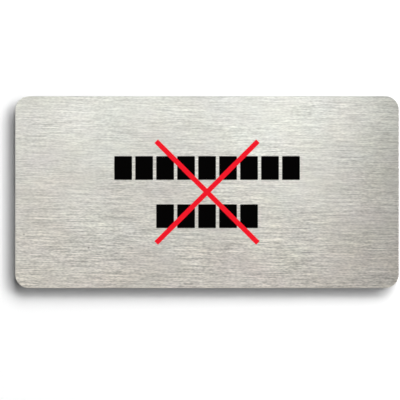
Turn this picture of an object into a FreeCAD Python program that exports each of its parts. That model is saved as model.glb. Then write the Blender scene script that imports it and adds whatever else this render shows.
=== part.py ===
import FreeCAD, Part
import math
import os
import Sketcher
from FreeCAD import Placement, Rotation, Vector

# A flat sign of brushed aluminium that sticks to the wall beside a lift.
# It stands upright, as on its wall: +X to the reader's right, +Z up, and the reader on the -Y side.
# The origin is the centre of the back of the mounting tape, on the wall.
# From the wall outwards come the tape, the plate and one layer of ink.

SIZES = {
    # The plate is punched from sheet: the punch rounds the front rim, and the back rim is broken.
    "plate_width": 160.0,
    "plate_height": 80.0,
    "plate_thickness": 1.5,
    "plate_corner_radius": 5.6,
    "front_rim_radius": 0.25,
    "back_rim_break": 0.1,
    # The foam tape is one sheet, which stops short of the plate's edge all round.
    "tape_thickness": 1.0,
    "tape_inset": 10.0,
    "tape_corner_radius": 2.0,
    # The print is one layer of ink: a cross of two arms, and two rows of blocks.
    "ink_thickness": 0.08,
    "arm_length": 60.0,
    "arm_width": 2.1,
    "arm_angle": 45.0,
    "block_width": 7.4,
    "block_height": 9.9,
    "block_gap": 1.35,
    "block_corner_radius": 0.35,
    "row_spacing": 20.1,
    "upper_row_blocks": 9,
    "lower_row_blocks": 5,
}

# How far the back of the plate and of the ink stand off the wall.
PLATE_BACK = "Sizes.tape_thickness"
INK_BACK = "(Sizes.tape_thickness + Sizes.plate_thickness)"

# The ends of a line, and the centre of an arc, as a sketch numbers them.
START, END, CENTRE = 1, 2, 3
# The sketch's own origin.
ORIGIN = (-1, 1)


def make_sheet(doc):
    """The driving dimensions, one to a line, each with its name as alias."""
    sheet = doc.addObject("Spreadsheet::Sheet", "Sizes")
    for line, (name, value) in enumerate(SIZES.items(), start=1):
        sheet.set(f"A{line}", name)
        sheet.set(f"B{line}", str(value))
        sheet.setAlias(f"B{line}", name)
    doc.recompute()


def make_body(doc, label, stand_off=None):
    """An empty body whose back stands off the wall by the given expression."""
    body = doc.addObject("PartDesign::Body", label)
    body.Label = label
    body.AllowCompound = True
    body.Placement = Placement()
    if stand_off:
        body.setExpression("Placement.Base.y", f"-{stand_off}")
    return body


def make_sketch(body, name, offset=None, turn=None):
    """A sketch on the body's back, seen as the reader sees it, and moved or turned in that plane."""
    plane = next(f for f in body.Origin.OriginFeatures if f.Role == "XZ_Plane")
    sketch = body.newObject("Sketcher::SketchObject", name)
    sketch.AttachmentSupport = (plane, [""])
    sketch.MapMode = "FlatFace"
    if offset:
        across, up = offset
        sketch.setExpression("AttachmentOffset.Base.x", across)
        sketch.setExpression("AttachmentOffset.Base.y", up)
    if turn:
        sketch.AttachmentOffset = Placement(Vector(), Rotation(Vector(0, 0, 1), 1))
        sketch.setExpression("AttachmentOffset.Rotation.Angle", turn)
    return sketch


def constrain(sketch, kind, *where):
    sketch.addConstraint(Sketcher.Constraint(kind, *where))


def dimension(sketch, name, expression, kind, *where):
    """A named dimension of a sketch, tied to the sheet."""
    number = sketch.addConstraint(Sketcher.Constraint(kind, *where))
    sketch.renameConstraint(number, name)
    sketch.setExpression(f"Constraints.{name}", expression)


def draw_rounded_rectangle(sketch, width, height, radius):
    """Four sides and four quarter arcs, centred on the sketch's origin."""
    half, corner = 10.0, 1.0
    inner = half - corner
    bottom, right, top, left = range(4)
    arcs = range(4, 8)
    side_ends = [
        ((-inner, -half), (inner, -half)),
        ((half, -inner), (half, inner)),
        ((inner, half), (-inner, half)),
        ((-half, inner), (-half, -inner)),
    ]
    for (x1, y1), (x2, y2) in side_ends:
        sketch.addGeometry(Part.LineSegment(Vector(x1, y1, 0), Vector(x2, y2, 0)), False)
    centres = [(inner, -inner), (inner, inner), (-inner, inner), (-inner, -inner)]
    for quarter, (x, y) in enumerate(centres, start=-1):
        circle = Part.Circle(Vector(x, y, 0), Vector(0, 0, 1), corner)
        begin = quarter * math.pi / 2
        sketch.addGeometry(Part.ArcOfCircle(circle, begin, begin + math.pi / 2), False)
    for side, arc in enumerate(arcs):
        constrain(sketch, "Tangent", side, END, arc, START)
        constrain(sketch, "Tangent", arc, END, (side + 1) % 4, START)
    for side in (bottom, top):
        constrain(sketch, "Horizontal", side)
    for side in (right, left):
        constrain(sketch, "Vertical", side)
    for arc in arcs[1:]:
        constrain(sketch, "Equal", arcs[0], arc)
    constrain(sketch, "Symmetric", arcs[0], CENTRE, arcs[2], CENTRE, *ORIGIN)
    dimension(sketch, "width", width, "DistanceX", left, START, right, START, 2 * half)
    dimension(sketch, "height", height, "DistanceY", bottom, START, top, START, 2 * half)
    dimension(sketch, "corner", radius, "Radius", arcs[0], corner)


def draw_cross(sketch):
    """Two arms that cross square at the sketch's origin, as one outline of twelve lines."""
    tip, side = 20.0, 1.0
    corners = [(side, side), (tip, side), (tip, -side), (side, -side), (side, -tip), (-side, -tip)]
    corners += [(-x, -y) for x, y in corners]
    count = len(corners)
    for number, (x, y) in enumerate(corners):
        next_x, next_y = corners[(number + 1) % count]
        sketch.addGeometry(Part.LineSegment(Vector(x, y, 0), Vector(next_x, next_y, 0)), False)
    for number in range(count):
        constrain(sketch, "Coincident", number, END, (number + 1) % count, START)
        constrain(sketch, "Horizontal" if number % 2 == 0 else "Vertical", number)
    # Three corners have their opposite corner straight across the centre.
    for corner, opposite in ((1, 7), (3, 9), (5, 11)):
        constrain(sketch, "Symmetric", corner, START, opposite, START, *ORIGIN)
    # An arm's two sides are as long as each other, and so are the two arms, and their ends as wide.
    for line, like in ((0, 2), (3, 5), (0, 11), (1, 4)):
        constrain(sketch, "Equal", line, like)
    dimension(sketch, "length", "Sizes.arm_length", "DistanceX", 7, START, 1, START, 2 * tip)
    dimension(sketch, "width", "Sizes.arm_width", "DistanceY", 2, START, 1, START, 2 * side)


def pad(body, sketch, name, thickness):
    """The sketch's outline raised towards the reader."""
    feature = body.newObject("PartDesign::Pad", name)
    feature.Profile = sketch
    feature.setExpression("Length", thickness)
    body.Document.recompute()
    return feature


def edges_at(shape, level):
    """The names of the edges that lie in the plane at this distance along Y."""
    names = []
    for number, edge in enumerate(shape.Edges, start=1):
        box = edge.BoundBox
        if max(abs(box.YMin - level), abs(box.YMax - level)) < 1e-6:
            names.append(f"Edge{number}")
    return names


def build_sign_plate(doc):
    """The plate: a rounded blank, its front rim rolled over by the punch and its back rim broken."""
    body = make_body(doc, "sign_plate", PLATE_BACK)
    outline = make_sketch(body, "plate_outline")
    draw_rounded_rectangle(
        outline, "Sizes.plate_width", "Sizes.plate_height", "Sizes.plate_corner_radius"
    )
    blank = pad(body, outline, "plate_blank", "Sizes.plate_thickness")
    front_rim = body.newObject("PartDesign::Fillet", "front_rim")
    front_rim.Base = (blank, edges_at(blank.Shape, blank.Shape.BoundBox.YMin))
    front_rim.setExpression("Radius", "Sizes.front_rim_radius")
    doc.recompute()
    back_rim = body.newObject("PartDesign::Chamfer", "back_rim")
    back_rim.Base = (front_rim, edges_at(front_rim.Shape, front_rim.Shape.BoundBox.YMax))
    back_rim.setExpression("Size", "Sizes.back_rim_break")
    return body


def build_mounting_tape(doc):
    """The foam tape, set in from the plate's edge by the same amount all round."""
    body = make_body(doc, "mounting_tape")
    outline = make_sketch(body, "tape_outline")
    draw_rounded_rectangle(
        outline,
        "Sizes.plate_width - 2 * Sizes.tape_inset",
        "Sizes.plate_height - 2 * Sizes.tape_inset",
        "Sizes.tape_corner_radius",
    )
    pad(body, outline, "tape_sheet", "Sizes.tape_thickness")
    return body


def build_red_cross(doc):
    """The cross, whose plain square arms are turned to run from corner to corner of its square."""
    body = make_body(doc, "red_cross", INK_BACK)
    outline = make_sketch(body, "cross_outline", turn="Sizes.arm_angle")
    draw_cross(outline)
    pad(body, outline, "cross_ink", "Sizes.ink_thickness")
    return body


def build_print_row(doc, label, count, height):
    """One centred row of blocks, left bare where the cross runs, so that the two inks meet."""
    body = make_body(doc, label, INK_BACK)
    pitch = "(Sizes.block_width + Sizes.block_gap)"
    first = make_sketch(body, f"{label}_first_block", offset=(f"-({count} - 1) * {pitch} / 2", height))
    draw_rounded_rectangle(first, "Sizes.block_width", "Sizes.block_height", "Sizes.block_corner_radius")
    block = pad(body, first, f"{label}_block_ink", "Sizes.ink_thickness")

    row = body.newObject("PartDesign::LinearPattern", f"{label}_blocks")
    row.Originals = [block]
    row.Direction = (first, ["H_Axis"])
    row.Mode = "Spacing"
    row.setExpression("Offset", pitch)
    row.setExpression("Occurrences", count)
    body.Tip = row
    doc.recompute()

    outline = make_sketch(body, f"{label}_cross_outline", turn="Sizes.arm_angle")
    draw_cross(outline)
    bare = body.newObject("PartDesign::Pocket", f"{label}_bare_cross")
    bare.Profile = outline
    bare.Type = "ThroughAll"
    bare.Reversed = True
    doc.recompute()
    if not bare.Shape.Volume < row.Shape.Volume:
        raise RuntimeError(f"{label}: the cross was not left bare")
    return body


def export(doc, bodies):
    """Writes one STEP file for each body, after every object has been found sound."""
    for item in doc.Objects:
        if "Invalid" in item.State or "Error" in item.State:
            raise RuntimeError(f"{item.Label}: {item.State}")
    os.makedirs("parts", exist_ok=True)
    for body in bodies:
        shape = body.Shape
        if shape.isNull() or not shape.isValid() or not shape.Solids:
            raise RuntimeError(f"{body.Label}: no sound solid")
        shape.exportStep(f"parts/{body.Label}.step")
        print(body.Label, len(shape.Solids), "solids,", round(shape.Volume, 3), "cubic mm")


document = FreeCAD.newDocument("lift_sign")
make_sheet(document)
sign = [
    build_sign_plate(document),
    build_mounting_tape(document),
    build_red_cross(document),
    build_print_row(document, "upper_print_row", "Sizes.upper_row_blocks", "Sizes.row_spacing / 2"),
    build_print_row(document, "lower_print_row", "Sizes.lower_row_blocks", "-Sizes.row_spacing / 2"),
]
document.recompute()
export(document, sign)
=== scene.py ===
import math

import bmesh
import bpy
from mathutils import Matrix, Vector
from mathutils.noise import noise as noise_at


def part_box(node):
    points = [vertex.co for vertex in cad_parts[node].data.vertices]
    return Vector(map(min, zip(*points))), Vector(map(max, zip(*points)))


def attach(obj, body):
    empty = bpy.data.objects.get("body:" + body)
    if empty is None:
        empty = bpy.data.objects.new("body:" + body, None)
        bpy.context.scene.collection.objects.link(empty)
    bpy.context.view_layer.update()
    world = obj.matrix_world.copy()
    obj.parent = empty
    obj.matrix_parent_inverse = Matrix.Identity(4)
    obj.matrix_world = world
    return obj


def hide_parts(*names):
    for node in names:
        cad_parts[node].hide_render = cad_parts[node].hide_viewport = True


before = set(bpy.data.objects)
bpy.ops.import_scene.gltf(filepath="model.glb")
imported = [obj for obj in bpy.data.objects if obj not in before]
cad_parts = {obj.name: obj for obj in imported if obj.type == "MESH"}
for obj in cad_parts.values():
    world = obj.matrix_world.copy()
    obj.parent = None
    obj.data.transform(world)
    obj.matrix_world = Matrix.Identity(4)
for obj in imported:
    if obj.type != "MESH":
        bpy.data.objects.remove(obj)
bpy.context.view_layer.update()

# A brushed aluminium lift sign, stuck to a white wall with foam tape.
# +X runs to the reader's right, +Z is up, and the wall is the plane y = 0, with the reader on its -Y side.

MM = 0.001

PLATE_LOW, PLATE_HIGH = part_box("sign_plate")
TAPE_LOW, TAPE_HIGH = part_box("mounting_tape")
PLATE_FACE = PLATE_LOW.y


# Nodes

def add_node(tree, kind, inputs=None, **settings):
    """A shader node with its settings; an input is a plain value, or the socket that feeds it."""
    made = tree.nodes.new(kind)
    for name, value in settings.items():
        setattr(made, name, value)
    for name, value in (inputs or {}).items():
        if isinstance(value, bpy.types.NodeSocket):
            tree.links.new(value, made.inputs[name])
        else:
            made.inputs[name].default_value = value
    return made


def arithmetic(tree, operation, *values, clamp=False):
    inputs = dict(enumerate(values))
    return add_node(tree, "ShaderNodeMath", inputs, operation=operation, use_clamp=clamp).outputs[0]


def rescale(tree, value, low, high, new_low=0.0, new_high=1.0):
    """The value carried from one range to another, and held at the ends."""
    inputs = {"Value": value, "From Min": low, "From Max": high, "To Min": new_low, "To Max": new_high}
    return add_node(tree, "ShaderNodeMapRange", inputs).outputs["Result"]


def weigh(tree, *parts):
    """The sum of some noises, each about its own middle and times its own weight."""
    total = 0.0
    for value, weight in parts:
        middle = arithmetic(tree, "SUBTRACT", value, 0.5)
        total = arithmetic(tree, "MULTIPLY_ADD", middle, weight, total)
    return total


def colour_ramp(tree, value, *stops):
    """A colour for each place between 0 and 1, blended in between."""
    made = add_node(tree, "ShaderNodeValToRGB", {"Fac": value})
    ramp = made.color_ramp
    for number, (place, colour) in enumerate(stops):
        stop = ramp.elements[number] if number < 2 else ramp.elements.new(place)
        stop.position = place
        stop.color = (*colour, 1)
    return made.outputs["Color"]


def blend_colour(tree, amount, first, second):
    made = add_node(tree, "ShaderNodeMix", {"Factor": amount}, data_type="RGBA")
    for socket, value in ((made.inputs[6], first), (made.inputs[7], second)):
        if isinstance(value, bpy.types.NodeSocket):
            tree.links.new(value, socket)
        else:
            socket.default_value = (*value, 1)
    return made.outputs[2]


def noise(tree, place, size, detail=0.0, roughness=0.5, shift=0.0):
    """Noise whose grains have this size in metres along X, Y and Z."""
    scale = tuple(1 / length for length in size)
    inputs = {"Vector": place, "Location": (shift, shift, shift), "Scale": scale}
    drawn = add_node(tree, "ShaderNodeMapping", inputs).outputs[0]
    inputs = {"Vector": drawn, "Scale": 1.0, "Detail": detail, "Roughness": roughness}
    return add_node(tree, "ShaderNodeTexNoise", inputs).outputs[0]


def new_finish(name, **constants):
    """A new material with one shader, whose even values are set on its own sockets."""
    material = bpy.data.materials.new(name)
    material.use_nodes = True
    tree = material.node_tree
    shader = tree.nodes["Principled BSDF"]
    for socket, value in constants.items():
        shader.inputs[socket.replace("_", " ")].default_value = value
    place = add_node(tree, "ShaderNodeTexCoord").outputs["Object"]
    return material, tree, shader, place


def feed(tree, shader, **sockets):
    for name, value in sockets.items():
        tree.links.new(value, shader.inputs[name.replace("_", " ")])


# Finishes

# The brushing bites deepest along the foot of the plate, and eases off from there to its top.
BRUSHING_DEPTH = (1.50, 0.76)
BRUSHING_EASE = 2.2
# It falls a little towards the reader's right: this far, for each metre across.
BRUSHING_FALL = 0.017
# The strokes waver by this much along their way.
BRUSHING_WAVER = 0.15 * MM
# In soft patches they bite between these shares of that depth.
PATCH_SHARES = (0.62, 1.38)
# About how low and how high a soft noise reaches.
NOISE_LOW, NOISE_HIGH = 0.25, 0.75
# A dash shows where its noise passes these limits, bright above and dull below. Dull ones show less.
BRIGHT_DASHES, DULL_DASHES, DULL_SHARE = (0.66, 0.80), (0.34, 0.22), 0.8
DASH_STRENGTH = 0.30
# The metal in its dullest strokes, at its middle tone and in its brightest strokes.
STROKE_COLOURS = (
    (0.0, (0.380, 0.383, 0.361)),
    (0.5, (0.660, 0.662, 0.624)),
    (1.0, (0.965, 0.963, 0.902)),
)
# How rough it is in its dullest strokes and in its brightest.
FACE_ROUGHNESS = (0.36, 0.32)
# How much green and blue the metal shows for its red, at the foot of the plate and at its top.
GREEN_SHARE, BLUE_SHARE = (0.966, 1.016), (0.953, 1.012)
# Small dark marks on the face: how far across and up from the middle, and how dark.
SPECKS = (
    (-0.07640, -0.0177, 0.44),
    (-0.04935, -0.0232, 0.64),
)
# A mark is at its darkest out to the first of these distances from its middle, and gone at the second.
SPECK_DARK, SPECK_GONE = 0.24 * MM, 0.52 * MM
SPECK_COLOUR = (0.16, 0.15, 0.13)
# How squarely a surface looks to the reader or to the wall where the rim ends, and on the full flat.
RIM_ENDS, FLAT_IS_FULL = 0.55, 0.85
# The rolled back, from its dullest streak to its brightest.
ROLLED_COLOURS = (
    (0.0, (0.50, 0.505, 0.505)),
    (1.0, (0.86, 0.86, 0.85)),
)
BACK_ROUGHNESS = 0.36
# The punch cuts the rim cleanly down to this depth behind the face, and tears it further back.
# One becomes the other over the fade, before that depth and after it. Both go from dark to pale.
CLEAN_CUT_DEPTH, CUT_FADE = 0.5 * MM, 0.1 * MM
CUT_COLOURS = (0.64, 0.64, 0.62), (0.84, 0.84, 0.82)
TORN_COLOURS = (0.40, 0.40, 0.39), (0.62, 0.62, 0.60)
RIM_ROUGHNESS = 0.46
BLACK_INK = (0.0010, 0.0009, 0.0009)
RED_INK = (0.82, 0.0100, 0.0215)
# The darkest speckle in an ink, against its colour.
INK_SPECKLE = 0.96
# How high the brushing stands in the metal, and in the ink that lies over it.
METAL_RELIEF, INK_RELIEF = 0.03 * MM, 0.02 * MM


def normal_parts(tree):
    """The way the surface looks, along each of the object's own axes."""
    normal = add_node(tree, "ShaderNodeTexCoord").outputs["Normal"]
    return add_node(tree, "ShaderNodeSeparateXYZ", {0: normal}).outputs


def brush_strokes(tree, place):
    """The strokes of a brushed face: short, middling and long ones, all finer than half a millimetre."""
    across = add_node(tree, "ShaderNodeSeparateXYZ", {0: place}).outputs["X"]
    waver = weigh(tree, (noise(tree, place, (0.018, 1, 0.006), shift=3.1), BRUSHING_WAVER))
    lift = arithmetic(tree, "MULTIPLY_ADD", across, BRUSHING_FALL, waver)
    lifted = add_node(tree, "ShaderNodeCombineXYZ", {"Z": lift}).outputs[0]
    brushed = add_node(tree, "ShaderNodeVectorMath", {0: place, 1: lifted}, operation="ADD").outputs[0]
    short = noise(tree, brushed, (0.0012, 1, 0.00038), shift=1.7)
    middling = noise(tree, brushed, (0.0046, 1, 0.00036), shift=5.3)
    long = noise(tree, brushed, (0.0160, 1, 0.00040), shift=7.9)
    hairs = noise(tree, brushed, (0.0090, 1, 0.00012), detail=2.0, shift=9.2)
    dashes = noise(tree, brushed, (0.0042, 1, 0.00045), detail=1.0, shift=14.6)
    bright = rescale(tree, dashes, *BRIGHT_DASHES)
    dull = rescale(tree, dashes, *DULL_DASHES)
    dashes = arithmetic(tree, "SUBTRACT", bright, arithmetic(tree, "MULTIPLY", dull, DULL_SHARE))
    even = weigh(tree, (short, 0.56), (middling, 0.50), (long, 0.62), (hairs, 0.44))
    return arithmetic(tree, "MULTIPLY_ADD", dashes, DASH_STRENGTH, even)


def faint_tint(tree, place, height):
    """A faint cast over the metal, rosier toward the foot, in soft patches of rose and green."""
    green = rescale(tree, height, PLATE_LOW.z, PLATE_HIGH.z, *GREEN_SHARE)
    blue = rescale(tree, height, PLATE_LOW.z, PLATE_HIGH.z, *BLUE_SHARE)
    rosy = noise(tree, place, (0.024, 1, 0.017), detail=3.0, roughness=0.65, shift=21.4)
    yellowish = noise(tree, place, (0.020, 1, 0.015), detail=3.0, roughness=0.6, shift=25.9)
    green = arithmetic(tree, "ADD", green, weigh(tree, (rosy, 0.11)))
    blue = arithmetic(tree, "ADD", blue, weigh(tree, (rosy, 0.08), (yellowish, 0.12)))
    return add_node(tree, "ShaderNodeCombineXYZ", {0: 1.0, 1: green, 2: blue}).outputs[0]


def speck(tree, place, x, z, strength):
    """This strong within a small round mark on the face, and nought around it."""
    centre = (x, PLATE_FACE, z)
    away = add_node(tree, "ShaderNodeVectorMath", {0: place, 1: centre}, operation="DISTANCE")
    return rescale(tree, away.outputs["Value"], SPECK_GONE, SPECK_DARK, 0.0, strength)


def brushing(tree, place, height):
    """The strokes, as deep as they bite at each height, in soft patches that bite more or less."""
    downward = rescale(tree, height, PLATE_LOW.z, PLATE_HIGH.z, 1.0, 0.0)
    bite = arithmetic(tree, "POWER", downward, BRUSHING_EASE)
    depth = rescale(tree, bite, 1.0, 0.0, *BRUSHING_DEPTH)
    patches = noise(tree, place, (0.026, 1, 0.014), detail=1.0, shift=17.2)
    share = rescale(tree, patches, NOISE_LOW, NOISE_HIGH, *PATCH_SHARES)
    depth = arithmetic(tree, "MULTIPLY", depth, share)
    return arithmetic(tree, "MULTIPLY", brush_strokes(tree, place), depth)


def brushed_face(tree, place, height, grain):
    """The colour of the face, and its tone between the dullest strokes and the brightest."""
    blotches = noise(tree, place, (0.040, 1, 0.012), detail=1.0, shift=12.5)
    tone = arithmetic(tree, "ADD", weigh(tree, (blotches, 0.16)), grain)
    tone = arithmetic(tree, "ADD", tone, 0.5, clamp=True)
    metal = colour_ramp(tree, tone, *STROKE_COLOURS)
    tint = faint_tint(tree, place, height)
    colour = add_node(tree, "ShaderNodeVectorMath", {0: metal, 1: tint}, operation="MULTIPLY").outputs[0]
    for mark in SPECKS:
        colour = blend_colour(tree, speck(tree, place, *mark), colour, SPECK_COLOUR)
    return colour, tone


def rolled_back(tree, place):
    """The colour of the sheet as the rolls left it, in long level streaks and faint clouds."""
    streaks = noise(tree, place, (0.030, 1, 0.0010), detail=3.0, shift=31.0)
    clouds = noise(tree, place, (0.012, 1, 0.010), detail=3.0, shift=33.0)
    tone = arithmetic(tree, "ADD", weigh(tree, (streaks, 0.9), (clouds, 0.5)), 0.5)
    return colour_ramp(tree, tone, *ROLLED_COLOURS)


def punched_rim(tree, place):
    """The colour of the plate's edge: cut cleanly next to the face, and torn from there to the back."""
    depth = add_node(tree, "ShaderNodeSeparateXYZ", {0: place}).outputs["Y"]
    cut_end = PLATE_FACE + CLEAN_CUT_DEPTH
    past_the_cut = rescale(tree, depth, cut_end - CUT_FADE, cut_end + CUT_FADE)
    shear = noise(tree, place, (0.0005, 0.004, 0.0005), detail=2.0, shift=41.0)
    cut = blend_colour(tree, shear, *CUT_COLOURS)
    torn = blend_colour(tree, shear, *TORN_COLOURS)
    return blend_colour(tree, past_the_cut, cut, torn)


def across_the_marks(tree, to_reader, to_wall):
    """The way the metal spreads a highlight: up the brushed and rolled faces, and along the cut rim."""
    parts = normal_parts(tree)
    leftward = arithmetic(tree, "LESS_THAN", parts["X"], -0.001)
    along = arithmetic(tree, "MULTIPLY", parts["Z"], rescale(tree, leftward, 0, 1, -1, 1))
    up = arithmetic(tree, "ABSOLUTE", parts["X"])
    rim = add_node(tree, "ShaderNodeCombineXYZ", {"X": along, "Z": up}).outputs[0]
    flat = arithmetic(tree, "MAXIMUM", to_reader, to_wall)
    return add_node(
        tree, "ShaderNodeMix", {"Factor": flat, 4: rim, 5: (0, 0, 1)}, data_type="VECTOR",
    ).outputs[1]


def brushed_aluminium():
    """Fine level brushing on the face, rolled metal behind, and a punched rim between them."""
    material, tree, shader, place = new_finish("brushed_aluminium", Metallic=1.0, Anisotropic=0.98)
    height = add_node(tree, "ShaderNodeSeparateXYZ", {0: place}).outputs["Z"]
    grain = brushing(tree, place, height)
    face, tone = brushed_face(tree, place, height, grain)
    outward_y = normal_parts(tree)["Y"]
    to_reader = rescale(tree, outward_y, -RIM_ENDS, -FLAT_IS_FULL)
    to_wall = rescale(tree, outward_y, RIM_ENDS, FLAT_IS_FULL)
    colour = blend_colour(tree, to_reader, punched_rim(tree, place), face)
    colour = blend_colour(tree, to_wall, colour, rolled_back(tree, place))
    roughness = rescale(tree, tone, 0, 1, *FACE_ROUGHNESS)
    roughness = rescale(tree, to_reader, 0, 1, RIM_ROUGHNESS, roughness)
    roughness = rescale(tree, to_wall, 0, 1, roughness, BACK_ROUGHNESS)
    relief = arithmetic(tree, "MULTIPLY", grain, to_reader)
    bump = add_node(tree, "ShaderNodeBump", {"Height": relief, "Strength": 0.2, "Distance": METAL_RELIEF})
    feed(
        tree, shader,
        Base_Color=colour, Roughness=roughness,
        Normal=bump.outputs[0], Tangent=across_the_marks(tree, to_reader, to_wall),
    )
    return material


def printed_ink(name, colour):
    """Ink cured on the brushed metal: even in colour, with the grain showing faintly in its skin."""
    material, tree, shader, place = new_finish(name, Roughness=0.5, Specular_IOR_Level=0.006)
    speckle = noise(tree, place, (0.0006, 1, 0.0003), detail=2.0, shift=4.4)
    dark = tuple(INK_SPECKLE * part for part in colour)
    feed(tree, shader, Base_Color=blend_colour(tree, speckle, dark, colour))
    grain = brush_strokes(tree, place)
    bump = add_node(tree, "ShaderNodeBump", {"Height": grain, "Strength": 0.15, "Distance": INK_RELIEF})
    feed(tree, shader, Normal=bump.outputs[0])
    return material


def dress(node_name, material):
    """Gives a CAD node its finish."""
    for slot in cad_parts[node_name].material_slots:
        slot.material = material


dress("sign_plate", brushed_aluminium())
black_ink = printed_ink("black_ink", BLACK_INK)
dress("upper_print_row", black_ink)
dress("lower_print_row", black_ink)
dress("red_cross", printed_ink("red_ink", RED_INK))


# The foam tape

TAPE_CORNER = 2 * MM
FILM = 0.06 * MM
# The flats round each corner, the cuts along each side, and a length that only the sides pass.
CORNER_FLATS, SIDE_CUTS, SHORTEST_SIDE = 8, 59, 10 * MM
# How far the sides of the foam draw in, in millimetres, at even steps from its front to its back.
FOAM_DRAWN_IN = (0.04, 0.13, 0.19, 0.21, 0.19, 0.13, 0.04)
# How far the knife wanders in the foam and in the films, and how quickly along the rim and in depth.
FOAM_WANDER, FILM_WANDER = 0.05 * MM, 0.03 * MM
WANDER_ALONG, WANDER_DEEP = 900, 4000
# From dark to pale. The foam's dark is painted shade in its opened cells.
FOAM_SHADE_AND_WHITE = (0.66, 0.66, 0.65), (0.88, 0.88, 0.87)
FILM_COLOURS = (0.62, 0.61, 0.56), (0.80, 0.79, 0.74)
# The pores' colour is painted shade in the foam's hollows under the film; the bubbles are pale.
PORE_SHADE_COLOUR, BUBBLE_COLOUR = (0.50, 0.50, 0.47), (0.90, 0.90, 0.88)
# How many there are in a metre.
CELLS, BUBBLES, PORES = 5500.0, 420.0, 1300.0
# How far out from its middle a cell keeps its painted shade, and its wall is pale, for the spacing of the
# cells.
CELL_SHADED, CELL_WALL = 0.1, 0.6
# How far out a bubble or a pore is gone, and how near its middle it is full, for the spacing of its kind.
BUBBLE_RIM, PORE_RIM = (0.16, 0.10), (0.35, 0.05)
# How strongly they show.
BUBBLE_SHOWS, PORE_SHOWS = 0.7, 0.22
# How rough the film is, from its hollows to its ripples.
FILM_ROUGHNESS = (0.30, 0.44)
FOAM_RELIEF, FILM_RELIEF = 0.1 * MM, 0.2 * MM


def spots(tree, place, count):
    """The distance from the middle of the nearest of the many spots, this many to a metre."""
    return add_node(tree, "ShaderNodeTexVoronoi", {"Vector": place, "Scale": count}).outputs["Distance"]


def outward(point):
    """The way out of the tape's outline, seen from the front, at a point near its rim."""
    low, high = TAPE_LOW, TAPE_HIGH
    inner = Vector((
        min(max(point.x, low.x + TAPE_CORNER), high.x - TAPE_CORNER),
        0,
        min(max(point.z, low.z + TAPE_CORNER), high.z - TAPE_CORNER),
    ))
    away = Vector((point.x, 0, point.z)) - inner
    return away.normalized()


def tape_layer(name, levels, wander, material):
    """A layer of the tape through these levels, each a depth along Y and how far its rim is drawn in."""
    form = bmesh.new()
    bmesh.ops.create_grid(form, x_segments=1, y_segments=1, size=0.5)
    middle = (TAPE_LOW + TAPE_HIGH) / 2
    size = TAPE_HIGH - TAPE_LOW
    turn = Matrix.Rotation(math.radians(90), 4, "X")
    lay = Matrix.Translation((middle.x, levels[0][0], middle.z)) @ turn
    lay = lay @ Matrix.Diagonal((size.x, size.z, 1, 1))
    bmesh.ops.transform(form, matrix=lay, verts=form.verts)
    bmesh.ops.bevel(
        form, geom=form.verts[:], offset=TAPE_CORNER, offset_type="OFFSET", affect="VERTICES",
        segments=CORNER_FLATS, profile=0.5, material=-1,
    )
    sides = [edge for edge in form.edges if edge.calc_length() > SHORTEST_SIDE]
    bmesh.ops.subdivide_edges(form, edges=sides, cuts=SIDE_CUTS)
    rings = [form.verts[:]]
    face = form.faces[:][0]
    # The first face stays, as the front of the layer. Each later one moves on to the next level.
    for depth, _ in levels[1:]:
        made = bmesh.ops.extrude_face_region(form, geom=[face], use_keep_orig=len(rings) == 1)["geom"]
        ring = [part for part in made if isinstance(part, bmesh.types.BMVert)]
        face = [part for part in made if isinstance(part, bmesh.types.BMFace)][0]
        for corner in ring:
            corner.co.y = depth
        rings.append(ring)
    for ring, (depth, drawn_in) in zip(rings, levels):
        for corner in ring:
            place = corner.co * WANDER_ALONG + Vector((0, depth * WANDER_DEEP, 0))
            ragged = wander * (0.5 + 0.5 * noise_at(place))
            corner.co -= outward(corner.co) * (drawn_in + ragged)
    bmesh.ops.recalc_face_normals(form, faces=form.faces)
    mesh = bpy.data.meshes.new(name)
    form.to_mesh(mesh)
    form.free()
    mesh.materials.append(material)
    piece = bpy.data.objects.new(name, mesh)
    bpy.context.scene.collection.objects.link(piece)
    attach(piece, "root")
    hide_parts("mounting_tape")
    return piece


def closed_cell_foam():
    """White foam, with the small round cells that the knife opened along its sides, their hollows darkened
    with painted shade.
    """
    material, tree, shader, place = new_finish("closed_cell_foam", Roughness=0.85, Specular_IOR_Level=0.3)
    cells = spots(tree, place, CELLS)
    # Each opened cell is painted darker toward its middle: painted shade in its hollow, over the foam's
    # white.
    colour = blend_colour(tree, rescale(tree, cells, CELL_SHADED, CELL_WALL), *FOAM_SHADE_AND_WHITE)
    bump = add_node(tree, "ShaderNodeBump", {"Height": cells, "Strength": 0.5, "Distance": FOAM_RELIEF})
    feed(tree, shader, Base_Color=colour, Normal=bump.outputs[0])
    return material


def tacky_film():
    """A clear tacky coat over the foam's pores, a little uneven, with small bubbles caught under it. The
    pores show through as painted shade.
    """
    material, tree, shader, place = new_finish("tacky_film", Specular_IOR_Level=0.5)
    ripples = noise(tree, place, (0.009, 1, 0.006), detail=3.0, shift=2.2)
    bubbles = rescale(tree, spots(tree, place, BUBBLES), *BUBBLE_RIM)
    pores = rescale(tree, spots(tree, place, PORES), *PORE_RIM, 0.0, PORE_SHOWS)
    colour = blend_colour(tree, ripples, *FILM_COLOURS)
    # The foam's pores under the film are painted darker: painted shade in their hollows.
    colour = blend_colour(tree, pores, colour, PORE_SHADE_COLOUR)
    colour = blend_colour(tree, arithmetic(tree, "MULTIPLY", bubbles, BUBBLE_SHOWS), colour, BUBBLE_COLOUR)
    height = weigh(tree, (ripples, 1.0), (bubbles, 0.12))
    bump = add_node(tree, "ShaderNodeBump", {"Height": height, "Strength": 0.5, "Distance": FILM_RELIEF})
    roughness = rescale(tree, ripples, 0, 1, *FILM_ROUGHNESS)
    feed(tree, shader, Base_Color=colour, Normal=bump.outputs[0], Roughness=roughness)
    return material


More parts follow.
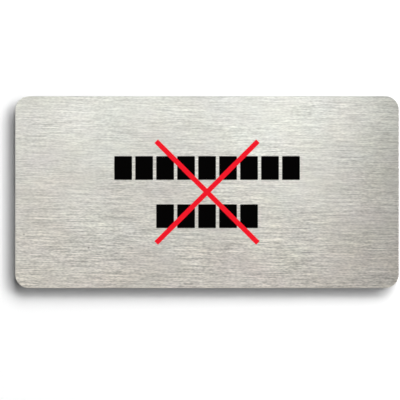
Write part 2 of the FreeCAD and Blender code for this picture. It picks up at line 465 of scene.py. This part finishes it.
def lay_tape():
    """The foam between its two tacky films, which reach out a hair further than the foam does."""
    front, back = TAPE_LOW.y, TAPE_HIGH.y
    near, far = front + FILM, back - FILM
    steps = len(FOAM_DRAWN_IN) - 1
    foam_levels = [
        (near + (far - near) * number / steps, drawn_in * MM)
        for number, drawn_in in enumerate(FOAM_DRAWN_IN)
    ]
    foam = tape_layer("tape_foam", foam_levels, FOAM_WANDER, closed_cell_foam())
    # Only the sides are shaded smooth.
    for flat in foam.data.polygons:
        flat.use_smooth = abs(flat.normal.y) < 0.9
    film = tacky_film()
    tape_layer("tape_front_film", [(front, 0.0), (near, 0.0)], FILM_WANDER, film)
    tape_layer("tape_back_film", [(far, 0.0), (back, 0.0)], FILM_WANDER, film)


lay_tape()


# The room

# The wall stands a hair behind the tape, and the floor lies well below the sign.
WALL_AT = 0.2 * MM
FLOOR_AT = -1.20
ROOM = 6.0
# How much light the wall and the floor give back, and the little that each adds for the eye.
WALL_COLOUR = 0.97
FLOOR_COLOUR = 0.30
SHEET_GLOW = 0.02
# The shade in which the floor is seen.
FLOOR_PALE = 0.97
# How light the world is to matt surfaces, and to the metal's second and later bounces.
FILL = 0.045
LATER_BOUNCES = 0.03
# What the metal mirrors of the room, in even steps from the reader's left to right as far as the spread
# reaches on each side: one row above eye level and one below it, which blend there, and then the ground.
ROOM_SPREAD = 0.36
EYE_LEVEL_BLEND = 0.12
GROUND_BLEND = (-0.35, -0.55)
ROOM_ABOVE = (1.00, 1.28, 1.06, 0.85, 0.71, 0.69, 0.79, 0.86, 0.46, 0.20, 0.17, 0.20, 0.75)
ROOM_BELOW = (1.00, 0.90, 0.83, 0.70, 0.50, 0.24, 0.20, 0.42, 0.40, 0.20, 0.15, 0.20, 0.75)
ROOM_FLOOR = 0.95
# The warm cast of all that is below eye level.
WARMTH_BELOW = (1.0, 0.945, 0.89)


def light_path(tree, *kinds):
    """One where the ray is of any of these kinds, and nought elsewhere."""
    path = add_node(tree, "ShaderNodeLightPath").outputs
    found = path[kinds[0]]
    for kind in kinds[1:]:
        found = arithmetic(tree, "MAXIMUM", found, path[kind])
    return found


def first_bounce(tree):
    """One where the world is reached after a single bounce, which it counts as a depth of two."""
    depth = add_node(tree, "ShaderNodeLightPath").outputs["Ray Depth"]
    return arithmetic(tree, "LESS_THAN", depth, 2.5)


def stage_sheet(name, turn, place, shade):
    """A big flat sheet of the room, which looks white where no shadow falls on it."""
    mesh = bpy.data.meshes.new(name)
    form = bmesh.new()
    bmesh.ops.create_grid(form, x_segments=1, y_segments=1, size=ROOM / 2)
    bmesh.ops.transform(form, matrix=Matrix.Translation(place) @ turn, verts=form.verts)
    form.to_mesh(mesh)
    form.free()
    sheet = bpy.data.objects.new(name, mesh)
    bpy.context.scene.collection.objects.link(sheet)
    material = bpy.data.materials.new(name)
    material.use_nodes = True
    tree = material.node_tree
    tree.nodes.remove(tree.nodes["Principled BSDF"])
    grey = (shade, shade, shade, 1)
    matt = add_node(tree, "ShaderNodeBsdfDiffuse", {"Color": grey}).outputs[0]
    seen = light_path(tree, "Is Camera Ray", "Is Glossy Ray", "Is Transmission Ray")
    strength = arithmetic(tree, "MULTIPLY", seen, SHEET_GLOW)
    glow = add_node(tree, "ShaderNodeEmission", {"Strength": strength}).outputs[0]
    surface = add_node(tree, "ShaderNodeAddShader", {0: matt, 1: glow}).outputs[0]
    tree.links.new(surface, tree.nodes["Material Output"].inputs["Surface"])
    mesh.materials.append(material)
    return sheet, tree, surface


def build_room():
    """The white wall behind the sign, open from behind, and the pale floor."""
    facing_reader = Matrix.Rotation(math.radians(90), 4, "X")
    wall_centre = Vector((0, WALL_AT, FLOOR_AT + ROOM / 2))
    wall, tree, surface = stage_sheet("wall", facing_reader, wall_centre, WALL_COLOUR)
    behind = add_node(tree, "ShaderNodeNewGeometry").outputs["Backfacing"]
    clear = add_node(tree, "ShaderNodeBsdfTransparent").outputs[0]
    one_sided = add_node(tree, "ShaderNodeMixShader", {0: behind, 1: surface, 2: clear}).outputs[0]
    tree.links.new(one_sided, tree.nodes["Material Output"].inputs["Surface"])
    wall.visible_diffuse = False
    wall.visible_glossy = False
    wall.visible_transmission = False
    wall.visible_shadow = False
    floor_centre = Vector((0, 0, FLOOR_AT))
    floor, tree, surface = stage_sheet("floor", Matrix.Identity(4), floor_centre, FLOOR_COLOUR)
    shade = (FLOOR_PALE, FLOOR_PALE, FLOOR_PALE, 1)
    pale = add_node(tree, "ShaderNodeEmission", {"Color": shade}).outputs[0]
    seen = light_path(tree, "Is Camera Ray")
    for_eye = add_node(tree, "ShaderNodeMixShader", {0: seen, 1: surface, 2: pale}).outputs[0]
    tree.links.new(for_eye, tree.nodes["Material Output"].inputs["Surface"])
    floor.visible_glossy = False


def reflected_row(tree, side, tones, colour):
    """Evenly spaced tones from left to right, in one colour."""
    last = len(tones) - 1
    stops = [(number / last, tuple(tone * part for part in colour)) for number, tone in enumerate(tones)]
    return colour_ramp(tree, side, *stops)


def light_world():
    """White for the camera, a soft fill on matt surfaces, and a shaded room in the metal's reflections."""
    world = bpy.data.worlds.new("studio")
    bpy.context.scene.world = world
    world.use_nodes = True
    # Rays from the surfaces find the world on their own, so that each kind of ray sees its own shade of it.
    world.cycles.sampling_method = "NONE"
    tree = world.node_tree
    direction = add_node(tree, "ShaderNodeTexCoord").outputs["Generated"]
    parts = add_node(tree, "ShaderNodeSeparateXYZ", {0: direction}).outputs
    side = rescale(tree, parts["X"], -ROOM_SPREAD, ROOM_SPREAD)
    above = reflected_row(tree, side, ROOM_ABOVE, (1, 1, 1))
    below = reflected_row(tree, side, ROOM_BELOW, WARMTH_BELOW)
    upward = rescale(tree, parts["Z"], -EYE_LEVEL_BLEND, EYE_LEVEL_BLEND)
    room = blend_colour(tree, upward, below, above)
    ground = tuple(ROOM_FLOOR * part for part in WARMTH_BELOW)
    room = blend_colour(tree, rescale(tree, parts["Z"], *GROUND_BLEND), room, ground)
    glossy = light_path(tree, "Is Glossy Ray", "Is Transmission Ray")
    first = first_bounce(tree)
    later = blend_colour(tree, first, (LATER_BOUNCES,) * 3, room)
    colour = blend_colour(tree, glossy, (FILL,) * 3, later)
    colour = blend_colour(tree, light_path(tree, "Is Camera Ray"), colour, (1, 1, 1))
    background = tree.nodes["Background"]
    background.inputs["Strength"].default_value = 1.0
    tree.links.new(colour, background.inputs["Color"])


def softbox(name, centre, aim, size, radiance):
    """A flat soft light of this size, which shines from its centre towards the point it aims at."""
    light = bpy.data.lights.new(name, "AREA")
    light.shape = "RECTANGLE"
    light.size, light.size_y = size
    light.energy = radiance * math.pi * size[0] * size[1]
    lamp = bpy.data.objects.new(name, light)
    lamp.location = centre
    lamp.rotation_euler = (Vector(aim) - Vector(centre)).to_track_quat("-Z", "Y").to_euler()
    lamp.visible_camera = False
    bpy.context.scene.collection.objects.link(lamp)
    return lamp


# Soft lights flat to the wall, up and to the right: how far out, the slopes across and up, the radiance.
WALL_LIGHTS = (
    ("key", 1.60, (1.60, 3.35), (0.68, 4.16), 20.5),
    ("upper_key", 1.58, (-0.03, 1.48), (1.35, 6.67), 13.5),
    ("side_key", 1.56, (1.06, 7.40), (-0.70, 3.70), 3.32),
)
# A soft light behind the wall, which is open from there, for the back of the sign.
BACK_LIGHT_OUT, BACK_LIGHT_WIDE, BACK_LIGHT_TALL, BACK_LIGHT = 0.15, 3.6, 1.2, 0.8
# Light bars just above the picture, one behind the other, brightest a little right of the middle.
BAR_UP, BAR_TALL = 0.12, 0.08
BARS = (
    ("wide_bar", 0.254, -0.20, 0.20, 1.56),
    ("middle_bar", 0.252, -0.10, 0.122, 1.11),
    ("right_bar", 0.250, 0.02, 0.10, 0.96),
)


def light_sign():
    """Wide lights for the wall and the print, one behind, and bars that only the metal mirrors."""
    for name, out, slopes_across, slopes_up, radiance in WALL_LIGHTS:
        across, up = (sum(slopes) / 2 * out for slopes in (slopes_across, slopes_up))
        size = tuple((slopes[1] - slopes[0]) * out for slopes in (slopes_across, slopes_up))
        softbox(name, (across, -out, up), (across, 0, up), size, radiance).visible_glossy = False
    behind = (0, BACK_LIGHT_OUT, 0)
    back = softbox("back_light", behind, (0, 0, 0), (BACK_LIGHT_WIDE, BACK_LIGHT_TALL), BACK_LIGHT)
    back.visible_glossy = False
    for name, out, left, right, radiance in BARS:
        centre = ((left + right) / 2, -out, BAR_UP)
        aim = (centre[0], 0, BAR_UP)
        bar = softbox(name, centre, aim, (right - left, BAR_TALL), radiance)
        bar.visible_diffuse = False


def set_camera():
    """Square on to the face, at the distance where the picture is as wide as in the photograph."""
    picture = 400
    pixels_per_metre = 2397.5
    plate_centre_px = (207.05, 192.1)
    data = bpy.data.cameras.new("camera")
    data.lens, data.sensor_width = 100, 36
    distance = picture / pixels_per_metre * data.lens / data.sensor_width
    camera = bpy.data.objects.new("camera", data)
    right = (picture / 2 - plate_centre_px[0]) / pixels_per_metre
    up = (plate_centre_px[1] - picture / 2) / pixels_per_metre
    camera.location = (right, PLATE_FACE - distance, up)
    camera.rotation_euler = (math.radians(90), 0, 0)
    data.clip_start, data.clip_end = 0.01, 50
    bpy.context.scene.collection.objects.link(camera)
    bpy.context.scene.camera = camera


build_room()
light_world()
light_sign()
set_camera()
bpy.context.scene.view_settings.view_transform = "Standard"
